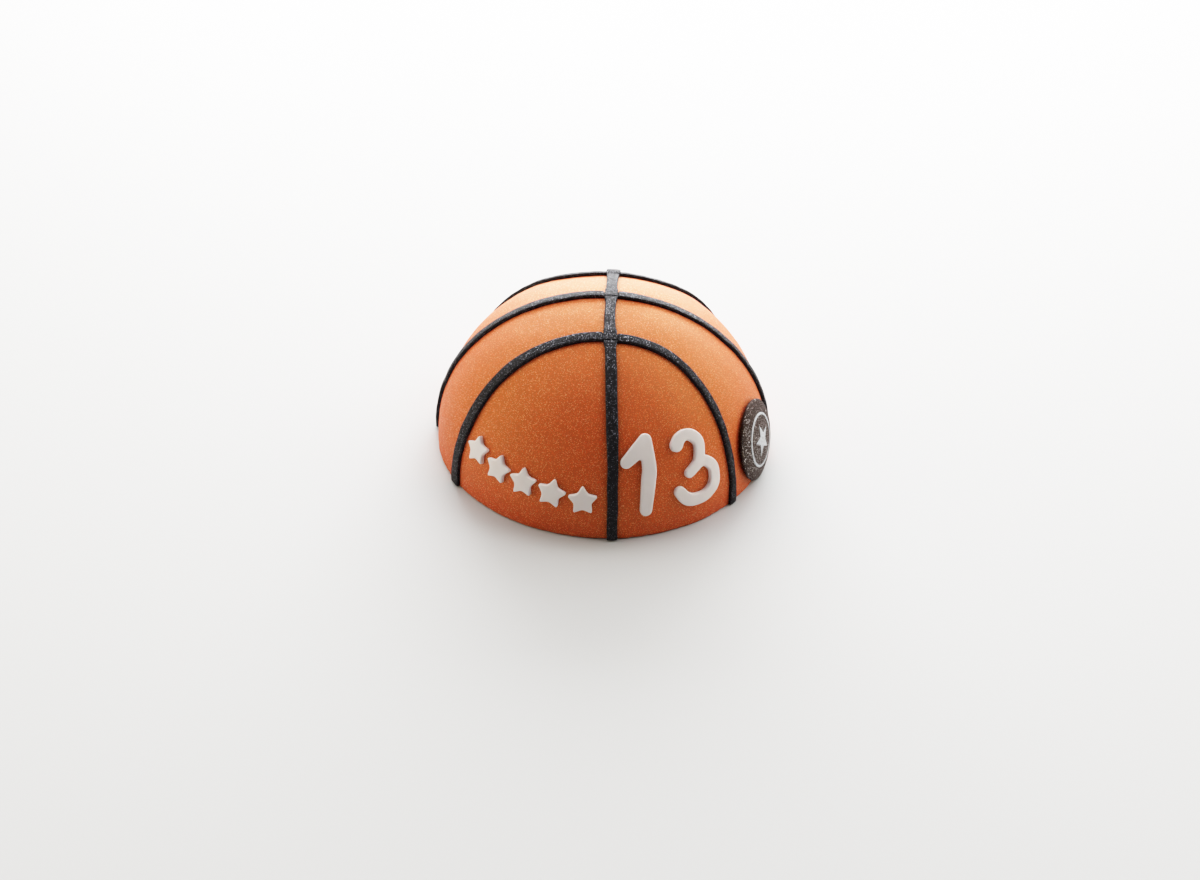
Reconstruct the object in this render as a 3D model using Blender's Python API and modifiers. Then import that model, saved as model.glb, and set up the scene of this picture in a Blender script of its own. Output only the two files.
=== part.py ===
"""Basketball ice cream cake.

A half ball of ice cream under one smooth skin of orange sugar paste, standing on its flat base.
Four black sugar paste stripes are laid over it as on a ball. White sugar paste numerals and
stars lie on the front, and a thick round chocolate medallion on the right.

Metres, +Z up. The origin is the middle of the flat base, and the front faces -Y.
"""
import bisect
import math
from collections import namedtuple

import bmesh
import bpy
from mathutils import Matrix, Vector

MM = 0.001

# The cake
DOME_RADIUS = 100 * MM
DOME_HEIGHT = 95.2 * MM
HEM_TUCK = 1.2 * MM  # how far the skin turns in where it meets the table
DOME_SEGMENTS = 84
DOME_RINGS = 17
HEM_STEPS = 2

# What lies on the skin
SKIN_GAP = 0.3 * MM  # left between pieces that touch
WELD = 0.01 * MM  # points closer than this are one
SHARP_EDGE = 40  # degrees; flatter edges are shaded smooth

# The stripes; widths are in millimetres, at even steps from the left or front foot
STRIPE_THICKNESS = 2.0 * MM
STRIPE_ROUNDING = 0.6 * MM
STRIPE_STEP = 6.5 * MM  # the bar is cut this often before it is bent
FLAT_BAR_WIDTH = 6 * MM  # before the bar takes its own width at each place
FOOT_HEIGHT = 0.5 * MM  # where the stripes end above the table
PATH_STEPS = 600

MERIDIAN_CLOSEST = 2.8 * MM  # to the right of the middle
MERIDIAN_CLOSEST_AT = 0.2  # cosine of the angle from the front foot, over the top
MERIDIAN_FEET = (7.4 * MM, 7.2 * MM)  # to the right of the middle, front and rear
MERIDIAN_BEND = 1.5
MERIDIAN_WIDTHS = (5.7, 5.8, 6.5, 6.3, 6.0, 7.0, 6.9, 6.8, 6.8)

# Where the meridian lies over another stripe, both are pressed thinner and it spreads
OVER_THICKNESS = 1.1 * MM
UNDER_THICKNESS = 1.0 * MM  # the rear rib keeps its full thickness
PRESSED_WIDENING = 1.2 * MM
OVER_MARGIN = 0.7 * MM  # the pressed stretch reaches this far past the other stripe's edge
UNDER_MARGIN = 0.3 * MM
OVER_RAMP = 3.6 * MM  # along which a stripe comes back to its full thickness
UNDER_RAMP = 0.6 * MM

CROSS_MIDDLE = -0.6 * MM  # forward of the apex
CROSS_FEET = (0.4 * MM, 3.9 * MM)  # forward of the middle, left and right
CROSS_POWER = 4
CROSS_WIDTHS = (5.6, 5.7, 5.5, 5.1, 5.4)

# A rib's feet are in degrees from the front or the rear; a higher power makes a squarer bow
FRONT_RIB_REACH = 34.2 * MM  # from the apex to the rib's crown, seen from above
FRONT_RIB_FEET = (56.2, 49.0)
FRONT_RIB_POWERS = (2.3, 2.8)
FRONT_RIB_WIDTHS = (7.2, 7.0, 6.5, 6.6, 6.0, 5.4, 5.3, 4.6, 4.1, 4.2, 5.2)
REAR_RIB_REACH = 35.4 * MM
REAR_RIB_FEET = (52.0, 52.0)
REAR_RIB_POWERS = (2.5, 2.5)
REAR_RIB_WIDTHS = (5.8, 5.0, 5.8)

# The white pieces; a centre is an azimuth from the front and an elevation, in degrees
NUMERAL_THICKNESS = 2.1 * MM
NUMERAL_ROUNDING = 0.7 * MM
FLAT_STEP = 6.0 * MM  # a flat piece is cut into squares of this size before it is bent
STROKE_STEPS = 4  # between two points of a stroke
CAP_STEPS = 7  # round each end of a stroke

# Strokes: x, y and half the width along the middle line, in millimetres
ONE_CENTRE = (13.6, 24.0)
ONE_STROKES = (
    ((4.0, 16.2, 3.6), (5.1, 0.8, 3.9), (4.2, -6.8, 4.0), (2.3, -23.4, 3.4)),
    ((3.8, 15.8, 3.7), (-1.2, 10.4, 4.1), (-7.4, 5.0, 3.3)),
    ((0.8, 8.2, 2.5), (2.1, 7.5, 2.5)),
)
THREE_CENTRE = (32.8, 21.0)
THREE_STROKES = (
    ((-7.4, 14.9, 3.7), (-4.9, 17.7, 3.5), (-0.8, 19.0, 3.2), (3.7, 17.0, 3.4), (6.6, 11.8, 3.2),
     (4.1, 2.6, 3.2), (-0.4, -1.0, 3.0), (-2.8, -2.4, 2.9)),
    ((3.9, 1.5, 3.0), (8.3, 1.2, 3.1), (13.1, -4.2, 3.3), (12.6, -13.2, 3.5), (6.6, -18.4, 3.4),
     (-1.2, -19.0, 3.6), (-6.6, -16.7, 3.7), (-10.2, -11.6, 3.3)),
)

STAR_RADIUS = 9.0 * MM
STAR_THICKNESS = 2.2 * MM
STAR_ROUNDING = 0.5 * MM
STAR_POINTS = 5
STAR_WAIST = 0.54  # inner corners, as a share of the radius
STAR_SOFTNESS = 0.24  # how much of each side a rounded corner takes
STAR_CORNER_STEPS = 3
STARS = (  # azimuth, elevation and turn in degrees
    (-46.6, 19.0, 7.0),
    (-36.2, 17.2, -5.0),
    (-26.0, 16.3, 4.0),
    (-15.8, 15.3, -8.0),
    (-5.4, 14.3, 3.0),
)

# The medallion
MEDALLION_CENTRE = (68.1, 13.8)
MEDALLION_RADIUS = 23.6 * MM
MEDALLION_THICKNESS = 3.9 * MM  # in the middle; the face falls towards the rim as an ellipse
MEDALLION_EDGE = 1.4 * MM
MEDALLION_STANDOFF = 0.9 * MM  # the stiff disc bends less than the dome, so its rim stands off it
MEDALLION_SEGMENTS = 48
MEDALLION_RINGS = 6

# Colour, roughness and metallic value of each material
FINISHES = {
    "sugar_paste_orange": ((0.56, 0.14, 0.04), 0.55, 0.0),
    "sugar_paste_black": ((0.012, 0.012, 0.015), 0.5, 0.0),
    "sugar_paste_white": ((0.76, 0.73, 0.71), 0.5, 0.0),
    "chocolate_disc": ((0.09, 0.07, 0.06), 0.4, 0.1),
}


def direction(azimuth, elevation):
    """Unit vector from the origin; azimuth turns from the front towards +X."""
    turn = math.radians(azimuth)
    rise = math.radians(elevation)
    return Vector((math.sin(turn) * math.cos(rise), -math.cos(turn) * math.cos(rise), math.sin(rise)))


def on_dome(toward, lift=0.0):
    """The point on the dome in a direction from the origin, lifted along the dome's normal."""
    reach = Vector((toward.x / DOME_RADIUS, toward.y / DOME_RADIUS, toward.z / DOME_HEIGHT)).length
    point = toward / reach
    normal = Vector((point.x / DOME_RADIUS**2, point.y / DOME_RADIUS**2, point.z / DOME_HEIGHT**2))
    return point + normal.normalized() * lift


def dome_height(x, y):
    """Height of the dome over a point of its plan, zero outside it."""
    inside = 1 - (x * x + y * y) / DOME_RADIUS**2
    return DOME_HEIGHT * math.sqrt(max(inside, 0.0))


def clear_scene():
    for obj in list(bpy.data.objects):
        bpy.data.objects.remove(obj, do_unlink=True)


def make_materials():
    materials = {}
    for name, (colour, roughness, metallic) in FINISHES.items():
        material = bpy.data.materials.new(name)
        material.use_nodes = True
        shader = material.node_tree.nodes["Principled BSDF"]
        shader.inputs["Base Color"].default_value = (*colour, 1.0)
        shader.inputs["Roughness"].default_value = roughness
        shader.inputs["Metallic"].default_value = metallic
        material.diffuse_color = (*colour, 1.0)
        materials[name] = material
    return materials


def add_piece(name, mesh, material, parent, place=None):
    """Add a finished mesh to the cake, smooth but for its sharp edges."""
    mesh.name = name
    mesh.materials.clear()
    mesh.materials.append(material)
    mesh.shade_smooth()
    mesh.set_sharp_from_angle(angle=math.radians(SHARP_EDGE))
    piece = bpy.data.objects.new(name, mesh)
    cake.objects.link(piece)
    piece.parent = parent
    if place is not None:
        piece.matrix_local = place


def evaluated_mesh(obj):
    """A mesh of an object as its modifiers leave it; the object is removed."""
    bpy.context.view_layer.update()
    evaluated = obj.evaluated_get(bpy.context.evaluated_depsgraph_get())
    mesh = bpy.data.meshes.new_from_object(evaluated)
    bpy.data.objects.remove(obj, do_unlink=True)
    return mesh


def turned_mesh(profile, segments):
    """Turn a profile of (radius, height) pairs about the Z axis."""
    mesh = bpy.data.meshes.new("profile")
    places = [(radius, 0.0, height) for radius, height in profile]
    mesh.from_pydata(places, [(k, k + 1) for k in range(len(places) - 1)], [])
    obj = bpy.data.objects.new("profile", mesh)
    cake.objects.link(obj)
    screw = obj.modifiers.new("Turn", "SCREW")
    screw.axis = "Z"
    screw.angle = math.tau
    screw.steps = segments
    screw.render_steps = segments
    screw.use_merge_vertices = True
    screw.merge_threshold = WELD
    return evaluated_mesh(obj)


def dome_mesh():
    """Half an ellipsoid from the apex down, a tucked hem and a flat base."""
    profile = [(0.0, DOME_HEIGHT)]
    for ring in range(1, DOME_RINGS + 1):
        angle = math.radians(90) * (1 - ring / DOME_RINGS)
        height = HEM_TUCK + (DOME_HEIGHT - HEM_TUCK) * math.sin(angle)
        profile.append((DOME_RADIUS * math.sqrt(1 - (height / DOME_HEIGHT)**2), height))
    hem_radius = profile[-1][0] - HEM_TUCK
    for step in range(1, HEM_STEPS + 1):
        angle = math.radians(90) * step / HEM_STEPS
        profile.append((hem_radius + HEM_TUCK * math.cos(angle), HEM_TUCK * (1 - math.sin(angle))))
    profile.append((0.0, 0.0))
    return turned_mesh(profile, DOME_SEGMENTS)


def meridian_path():
    """From the front foot over the top to the rear foot, a little to the right of the middle."""
    points = []
    for step in range(PATH_STEPS + 1):
        angle = math.pi * step / PATH_STEPS
        beyond = math.cos(angle) - MERIDIAN_CLOSEST_AT
        if beyond > 0:
            foot, share = MERIDIAN_FEET[0], beyond / (1 - MERIDIAN_CLOSEST_AT)
        else:
            foot, share = MERIDIAN_FEET[1], -beyond / (1 + MERIDIAN_CLOSEST_AT)
        offset = MERIDIAN_CLOSEST + (foot - MERIDIAN_CLOSEST) * share**MERIDIAN_BEND
        toward = Vector((offset / DOME_RADIUS, -math.cos(angle), math.sin(angle)))
        points.append(on_dome(toward))
    return points


def plan_path(plan_y, left_x, right_x):
    """A path over the dome from left to right, drawn in plan as a function of x."""
    points = []
    for step in range(PATH_STEPS + 1):
        share = 2 * step / PATH_STEPS - 1
        x = (right_x if share > 0 else left_x) * abs(math.sin(share * math.pi / 2))
        y = plan_y(x)
        points.append(Vector((x, y, dome_height(x, y))))
    return points


def cross_path():
    """From side to side, close by the apex, leaning forward near its feet."""
    left_x, right_x = (math.sqrt(DOME_RADIUS**2 - foot**2) for foot in CROSS_FEET)

    def plan_y(x):
        foot, foot_x = (CROSS_FEET[0], left_x) if x < 0 else (CROSS_FEET[1], right_x)
        return -(CROSS_MIDDLE + (foot - CROSS_MIDDLE) * abs(x / foot_x)**CROSS_POWER)

    return plan_path(plan_y, -left_x, right_x)


def rib_path(side, reach, feet, powers):
    """A bow in front of the apex (side -1) or behind it (side 1), with its feet at two azimuths."""
    left, right = (math.radians(foot) for foot in feet)

    def plan_y(x):
        foot, power = (left, powers[0]) if x < 0 else (right, powers[1])
        foot_x, foot_y = DOME_RADIUS * math.sin(foot), DOME_RADIUS * math.cos(foot)
        return side * (reach + (foot_y - reach) * abs(x / foot_x)**power)

    return plan_path(plan_y, -DOME_RADIUS * math.sin(left), DOME_RADIUS * math.sin(right))


class Route:
    """A path over the dome, trimmed above the table and read by the distance along it."""

    def __init__(self, path):
        self.points = []
        for before, after in zip(path, path[1:]):
            low, high = before.z - FOOT_HEIGHT, after.z - FOOT_HEIGHT
            if low >= 0:
                self.points.append(before)
            if low * high < 0:
                self.points.append(before.lerp(after, low / (low - high)))
        self.distances = [0.0]
        for before, after in zip(self.points, self.points[1:]):
            self.distances.append(self.distances[-1] + (after - before).length)
        self.length = self.distances[-1]

    def at(self, distance):
        """The point at a distance, and the direction across the path there."""
        last = len(self.points) - 2
        index = min(max(bisect.bisect_left(self.distances, distance) - 1, 0), last)
        before, after = self.points[index], self.points[index + 1]
        span = self.distances[index + 1] - self.distances[index]
        point = before.lerp(after, (distance - self.distances[index]) / span)
        return point, point.cross(after - before).normalized()

    def nearest(self, other):
        """The distance along this route where it comes closest to another."""
        gaps = [min((point - far).length for far in other.points) for point in self.points]
        return self.distances[gaps.index(min(gaps))]


def width_at(widths, share):
    """A stripe's width at a share of its length, eased between the given widths."""
    place = share * (len(widths) - 1)
    first = min(int(place), len(widths) - 2)
    ease = place - first
    ease = ease * ease * (3 - 2 * ease)
    return (widths[first] * (1 - ease) + widths[first + 1] * ease) * MM


def bar_mesh(length, stations):
    """A flat bar along X with rounded top edges, cut at each station along its length."""
    bar = bmesh.new()
    size = Matrix.Diagonal((length, FLAT_BAR_WIDTH, STRIPE_THICKNESS, 1.0))
    bmesh.ops.create_cube(bar, size=1.0, matrix=size)
    bmesh.ops.translate(bar, verts=bar.verts, vec=(length / 2, 0.0, STRIPE_THICKNESS / 2))
    long_top_edges = [edge for edge in bar.edges
                      if all(vertex.co.z > STRIPE_THICKNESS / 2 for vertex in edge.verts)
                      and edge.verts[0].co.y * edge.verts[1].co.y > 0]
    bmesh.ops.bevel(bar, geom=long_top_edges, offset=STRIPE_ROUNDING, segments=2, profile=0.5,
                    affect="EDGES")
    for station in stations:
        cut(bar, Vector((station, 0.0, 0.0)), Vector((1.0, 0.0, 0.0)))
    return bar


def cut(work, place, normal):
    """Cut every face that a plane crosses, keeping both sides."""
    geometry = work.verts[:] + work.edges[:] + work.faces[:]
    bmesh.ops.bisect_plane(work, geom=geometry, plane_co=place, plane_no=normal)


# A pressed stretch of a stripe: its middle and half its length along the stripe, the ramp beyond it,
# and what its base height, thickness and width change to
Crossing = namedtuple("Crossing", "place reach ramp base thickness widening")


def crossing_at(distance, crossings):
    """The nearest crossing, and its share: 1 on the pressed stretch, 0 past a straight ramp."""
    nearest = min(crossings, key=lambda crossing: abs(distance - crossing.place))
    beyond = abs(distance - nearest.place) - nearest.reach
    return nearest, min(max(1 - beyond / nearest.ramp, 0.0), 1.0)


def stripe_mesh(route, widths, crossings):
    """Bend a bar along a route, and press it where it crosses other stripes."""
    count = round(route.length / STRIPE_STEP)
    stations = [route.length * k / count for k in range(1, count)]
    for crossing in crossings:
        ramps = [crossing.place + side * (crossing.reach + ramp)
                 for side in (-1, 1) for ramp in (0.0, crossing.ramp)]
        stations = [x for x in stations if min(abs(x - ramp) for ramp in ramps) > STRIPE_STEP / 4]
        stations += ramps
    bar = bar_mesh(route.length, sorted(stations))
    for vertex in bar.verts:
        distance, side, height = vertex.co
        crossing, share = crossing_at(distance, crossings)
        width = width_at(widths, distance / route.length) + crossing.widening * share
        pressed = 1 + (crossing.thickness / STRIPE_THICKNESS - 1) * share
        lift = SKIN_GAP + crossing.base * share + height * pressed
        point, across = route.at(distance)
        vertex.co = on_dome(point + across * (side / FLAT_BAR_WIDTH * width), lift)
    mesh = bpy.data.meshes.new("stripe")
    bar.to_mesh(mesh)
    bar.free()
    return mesh


def add_stripes(material, parent):
    """The meridian lies over the three other stripes."""
    meridian = Route(meridian_path())
    meridian_crossings = []
    others = (
        ("stripe_cross", cross_path(), CROSS_WIDTHS, UNDER_THICKNESS),
        ("stripe_front_rib", rib_path(-1, FRONT_RIB_REACH, FRONT_RIB_FEET, FRONT_RIB_POWERS),
         FRONT_RIB_WIDTHS, UNDER_THICKNESS),
        ("stripe_rear_rib", rib_path(1, REAR_RIB_REACH, REAR_RIB_FEET, REAR_RIB_POWERS),
         REAR_RIB_WIDTHS, STRIPE_THICKNESS),
    )
    for name, path, widths, thickness in others:
        route = Route(path)
        under_place, over_place = route.nearest(meridian), meridian.nearest(route)
        width = width_at(widths, under_place / route.length)
        over_width = width_at(MERIDIAN_WIDTHS, over_place / meridian.length) + PRESSED_WIDENING
        under = Crossing(under_place, over_width / 2 + UNDER_MARGIN, UNDER_RAMP, 0.0, thickness, 0.0)
        over = Crossing(over_place, width / 2 + OVER_MARGIN, OVER_RAMP, thickness + SKIN_GAP,
                        OVER_THICKNESS, PRESSED_WIDENING)
        meridian_crossings.append(over)
        add_piece(name, stripe_mesh(route, widths, [under]), material, parent)
    mesh = stripe_mesh(meridian, MERIDIAN_WIDTHS, meridian_crossings)
    add_piece("stripe_meridian", mesh, material, parent)


def curve_through(points, steps):
    """Catmull-Rom curve through points of any number of values."""
    ends = [points[0].lerp(points[1], -1.0), *points, points[-1].lerp(points[-2], -1.0)]
    line = []
    for a, b, c, d in zip(ends, ends[1:], ends[2:], ends[3:]):
        for step in range(steps):
            t = step / steps
            line.append(0.5 * (2 * b + (c - a) * t + (2 * a - 5 * b + 4 * c - d) * t**2
                               + (3 * b - a - 3 * c + d) * t**3))
    return [*line, points[-1]]


def cap_points(centre, radius, first_angle):
    """Points of a half circle, clockwise, without its two ends."""
    points = []
    for step in range(1, CAP_STEPS):
        angle = first_angle - math.pi * step / CAP_STEPS
        points.append(centre + Vector((math.cos(angle), math.sin(angle))) * radius)
    return points


def stroke_outline(stroke):
    """Outline of a pen stroke with round ends, from points on its middle line."""
    line = curve_through([Vector(values) * MM for values in stroke], STROKE_STEPS)
    last = len(line) - 1
    left, right, headings = [], [], []
    for k, sample in enumerate(line):
        ahead = line[min(k + 1, last)].xy - line[max(k - 1, 0)].xy
        heading = math.atan2(ahead.y, ahead.x)
        side = Vector((-math.sin(heading), math.cos(heading))) * sample.z
        left.append(sample.xy + side)
        right.append(sample.xy - side)
        headings.append(heading)
    end_cap = cap_points(line[-1].xy, line[-1].z, headings[-1] + math.pi / 2)
    start_cap = cap_points(line[0].xy, line[0].z, headings[0] - math.pi / 2)
    return [*left, *end_cap, *reversed(right), *start_cap]


def star_outline():
    """A five-pointed star with rounded corners."""
    corners = []
    for k in range(2 * STAR_POINTS):
        angle = math.pi / 2 + math.pi * k / STAR_POINTS
        reach = STAR_RADIUS if k % 2 == 0 else STAR_RADIUS * STAR_WAIST
        corners.append(Vector((math.cos(angle), math.sin(angle))) * reach)
    outline = []
    for k, corner in enumerate(corners):
        before = corner.lerp(corners[k - 1], STAR_SOFTNESS)
        after = corner.lerp(corners[(k + 1) % len(corners)], STAR_SOFTNESS)
        for step in range(STAR_CORNER_STEPS + 1):
            t = step / STAR_CORNER_STEPS
            outline.append(before * (1 - t)**2 + corner * 2 * t * (1 - t) + after * t**2)
    return outline


def slab(outline, thickness):
    """A flat piece with the given outline: a filled 2D curve made into a closed mesh."""
    curve = bpy.data.curves.new("outline", "CURVE")
    curve.dimensions = "2D"
    curve.fill_mode = "BOTH"
    curve.extrude = thickness / 2
    spline = curve.splines.new("POLY")
    spline.points.add(len(outline) - 1)
    for point, place in zip(spline.points, outline):
        point.co = (place.x, place.y, 0.0, 1.0)
    spline.use_cyclic_u = True
    obj = bpy.data.objects.new("outline", curve)
    cake.objects.link(obj)
    mesh = evaluated_mesh(obj)
    work = bmesh.new()
    work.from_mesh(mesh)
    bmesh.ops.remove_doubles(work, verts=work.verts, dist=WELD)
    bmesh.ops.translate(work, verts=work.verts, vec=(0.0, 0.0, thickness / 2))
    bmesh.ops.recalc_face_normals(work, faces=work.faces)
    work.to_mesh(mesh)
    work.free()
    return mesh


def union(meshes):
    """Join overlapping closed meshes into one body."""
    first, *others = [bpy.data.objects.new("stroke", mesh) for mesh in meshes]
    cake.objects.link(first)
    for other in others:
        cake.objects.link(other)
        join = first.modifiers.new("Join", "BOOLEAN")
        join.operation = "UNION"
        join.solver = "EXACT"
        join.object = other
    mesh = evaluated_mesh(first)
    for other in others:
        bpy.data.objects.remove(other, do_unlink=True)
    return mesh


def soften_and_slice(mesh, thickness, rounding):
    """Round a flat piece's upper rim and cut it into squares, so that it can bend over the dome."""
    work = bmesh.new()
    work.from_mesh(mesh)
    bmesh.ops.dissolve_limit(work, angle_limit=math.radians(1), verts=work.verts, edges=work.edges)
    rim = [edge for edge in work.edges if all(vertex.co.z > thickness / 2 for vertex in edge.verts)]
    bmesh.ops.bevel(work, geom=rim, offset=rounding, segments=2, profile=0.5, affect="EDGES",
                    clamp_overlap=True)
    for normal in (Vector((1.0, 0.0, 0.0)), Vector((0.0, 1.0, 0.0))):
        reach = max(abs(vertex.co.dot(normal)) for vertex in work.verts)
        count = int(reach / FLAT_STEP)
        for k in range(-count, count + 1):
            cut(work, normal * k * FLAT_STEP, normal)
    bmesh.ops.triangulate(work, faces=work.faces)
    work.to_mesh(mesh)
    work.free()


def drape(mesh, azimuth, elevation):
    """Lay a flat mesh on the dome, its x running east and its y north, and return its place.

    The mesh stays in the axes of that place, whose z stands straight out of the dome.
    """
    out = direction(azimuth, elevation)
    east = direction(azimuth + 90, 0.0)
    axes = Matrix((east, out.cross(east), out)).transposed()
    place = Matrix.Translation(on_dome(out)) @ axes.to_4x4()
    inverse = place.inverted()
    for vertex in mesh.vertices:
        sideways = axes @ Vector((vertex.co.x, vertex.co.y, 0.0))
        turn = sideways.length / DOME_RADIUS
        toward = out * math.cos(turn) + sideways.normalized() * math.sin(turn)
        vertex.co = inverse @ on_dome(toward, SKIN_GAP + vertex.co.z)
    return place


def add_numeral(name, strokes, centre, material, parent):
    mesh = union([slab(stroke_outline(stroke), NUMERAL_THICKNESS) for stroke in strokes])
    soften_and_slice(mesh, NUMERAL_THICKNESS, NUMERAL_ROUNDING)
    add_piece(name, mesh, material, parent, drape(mesh, *centre))


def add_stars(material, parent):
    for number, (azimuth, elevation, turn) in enumerate(STARS, start=1):
        mesh = slab(star_outline(), STAR_THICKNESS)
        mesh.transform(Matrix.Rotation(math.radians(turn), 4, "Z"))
        soften_and_slice(mesh, STAR_THICKNESS, STAR_ROUNDING)
        add_piece(f"star_{number}", mesh, material, parent, drape(mesh, azimuth, elevation))


def medallion_mesh():
    """A thick disc whose face is half an ellipse in section, as it lies over the skin made flat."""
    swell = MEDALLION_THICKNESS - MEDALLION_EDGE
    face, back = [], []
    for ring in range(MEDALLION_RINGS + 1):
        angle = math.radians(90) * ring / MEDALLION_RINGS
        share = math.sin(angle)
        standoff = MEDALLION_STANDOFF * share**2
        face.append((MEDALLION_RADIUS * share, standoff + MEDALLION_EDGE + swell * math.cos(angle)))
        back.append((MEDALLION_RADIUS * share, standoff))
    return turned_mesh([*face, *reversed(back)], MEDALLION_SEGMENTS)


def build_cake():
    materials = make_materials()
    white = materials["sugar_paste_white"]
    base = bpy.data.objects.new("base_centre", None)
    base.empty_display_size = DOME_RADIUS / 4
    cake.objects.link(base)
    add_piece("cake_dome", dome_mesh(), materials["sugar_paste_orange"], base)
    add_stripes(materials["sugar_paste_black"], base)
    add_numeral("digit_one", ONE_STROKES, ONE_CENTRE, white, base)
    add_numeral("digit_three", THREE_STROKES, THREE_CENTRE, white, base)
    add_stars(white, base)
    medallion = medallion_mesh()
    place = drape(medallion, *MEDALLION_CENTRE)
    add_piece("medallion", medallion, materials["chocolate_disc"], base, place)


clear_scene()
cake = bpy.data.collections.new("basketball_ice_cream_cake")
bpy.context.scene.collection.children.link(cake)
build_cake()
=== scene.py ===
"""Basketball ice cream cake: fine meshes, materials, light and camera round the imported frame.

Metres, +Z up. The origin is the middle of the flat base, and the front faces -Y. Every solid of
the frame is replaced by a finer piece of the same form that lies on the same uneven skin.
"""
import math
from collections import namedtuple

import bmesh
import bpy
import numpy as np
from mathutils import Matrix, Vector


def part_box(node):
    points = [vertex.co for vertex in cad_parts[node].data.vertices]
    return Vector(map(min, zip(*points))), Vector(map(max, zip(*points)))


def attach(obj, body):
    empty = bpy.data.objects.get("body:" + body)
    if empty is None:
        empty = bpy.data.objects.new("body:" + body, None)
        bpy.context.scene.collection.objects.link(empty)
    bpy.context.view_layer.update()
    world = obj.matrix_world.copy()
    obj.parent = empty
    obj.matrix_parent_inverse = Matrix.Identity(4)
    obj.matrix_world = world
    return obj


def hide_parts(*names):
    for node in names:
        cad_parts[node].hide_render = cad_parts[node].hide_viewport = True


MM = 0.001
JOIN_WITHIN = 0.001 * MM  # points closer than this become one
TINY = 1e-9  # a distance that counts as none

# The skin of the dome
SKIN_SEGMENTS = 640
SKIN_RINGS = 144
SKIN_SWELL = 0.16 * MM  # broad unevenness, and how far apart its humps are
SKIN_SWELL_LENGTH = 48 * MM
SKIN_RIPPLE = 0.035 * MM
SKIN_RIPPLE_LENGTH = 13 * MM
HEM_HEIGHT = 1.7 * MM  # where the skin turns in above the table
HEM_HEIGHT_CHANGE = 0.35 * MM
HEM_CHANGE_LENGTH = 26 * MM
HEM_TUCK = 1.4 * MM
HEM_LIP = 0.25 * MM  # how far the cut edge of the skin stands out
HEM_LIP_HEIGHT = 1.0 * MM  # how far above the edge the skin begins to turn out
HEM_STEPS = 9
NICKS = 90
NICK_WIDTH = (0.8 * MM, 3.0 * MM)
NICK_DEPTH = (0.15 * MM, 0.6 * MM)
NICK_INSET = 0.5  # how far a nick pulls the lip in, and the tuck out, as shares of its depth
NICK_UNTUCK = 0.3
BEDDING = 0.5 * MM  # how deep each piece reaches into the skin

# The stripes; widths are in millimetres, at even steps from the left or front foot
STRIPE_THICKNESS = 2.1 * MM
STRIPE_WALL = 0.3  # height of a line of points on its upright side, as a share of the thickness
STRIPE_ROUNDING = 0.75 * MM
STRIPE_ROUNDING_STEPS = 6
STRIPE_CROWN = 0.1 * MM
TOP_STEPS = 9
STRIPE_STEP = 0.4 * MM
STRIPE_EDGE_CHANGE = 0.11 * MM  # how much a hand-cut edge wanders
STRIPE_EDGE_LENGTH = 22 * MM
STRIPE_TOP_CHANGE = 0.05 * MM
STRIPE_TOP_LENGTH = 9 * MM
STRIPE_END_ROUNDING = 0.8 * MM
STRIPE_END_STEPS = 6
STRIPE_END_TAPER = 0.8 * STRIPE_ROUNDING  # how much narrower each side is at the very end
STRIPE_END_HEIGHT = 0.4  # the height of the very end, as a share of the thickness
FOOT_HEIGHT = 0.4 * MM  # where the stripes end above the table
PATH_STEPS = 2400

MERIDIAN_CLOSEST = 2.8 * MM  # to the right of the middle
MERIDIAN_CLOSEST_AT = 0.2  # cosine of the angle from the front foot, over the top
MERIDIAN_FEET = (7.4 * MM, 7.2 * MM)  # to the right of the middle, front and rear
MERIDIAN_BEND = 1.5
MERIDIAN_WIDTHS = (5.7, 5.8, 6.5, 6.3, 6.0, 7.0, 6.9, 6.8, 6.8)

# Where the meridian lies over another stripe, both are pressed thinner and it spreads
OVER_THICKNESS = 1.1 * MM
UNDER_THICKNESS = 1.1 * MM  # the rear rib keeps its full thickness
PRESSED_WIDENING = 1.2 * MM
OVER_MARGIN = 0.7 * MM  # the pressed stretch reaches this far past the other stripe's edge
UNDER_MARGIN = 0.3 * MM
OVER_RAMP = 3.6 * MM  # along which a stripe comes back to its full thickness
UNDER_RAMP = 0.6 * MM
CREASE_DEPTH = 0.45 * MM  # pressed into the meridian at the front edge of the stripe under it
CREASE_WIDTH = 0.3 * MM
CREASE_REACH = 3  # how many widths the finer steps reach each way, and how far even steps keep off
CREASE_CLEARANCE = 3.5
CREASE_STEPS = 17

CROSS_MIDDLE = -0.6 * MM  # forward of the apex
CROSS_FEET = (0.4 * MM, 3.9 * MM)  # forward of the middle, left and right
CROSS_POWER = 4
CROSS_WIDTHS = (5.6, 5.7, 5.5, 5.1, 5.4)

# A rib's feet are in degrees from the front or the rear; a higher power makes a squarer bow
FRONT_RIB_REACH = 34.2 * MM  # from the apex to the rib's crown, seen from above
FRONT_RIB_FEET = (56.2, 49.0)
FRONT_RIB_POWERS = (2.3, 2.8)
FRONT_RIB_WIDTHS = (7.2, 7.0, 6.5, 6.6, 6.0, 5.4, 5.3, 4.6, 4.1, 4.2, 5.2)
REAR_RIB_REACH = 35.4 * MM
REAR_RIB_FEET = (52.0, 52.0)
REAR_RIB_POWERS = (2.5, 2.5)
REAR_RIB_WIDTHS = (5.8, 5.0, 5.8)

# The white pieces; a centre is an azimuth from the front and an elevation, in degrees
NUMERAL_THICKNESS = 2.4 * MM
STROKE_STEPS = 12  # between two points of a stroke
CAP_STEPS = 16  # round each end of a stroke

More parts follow.
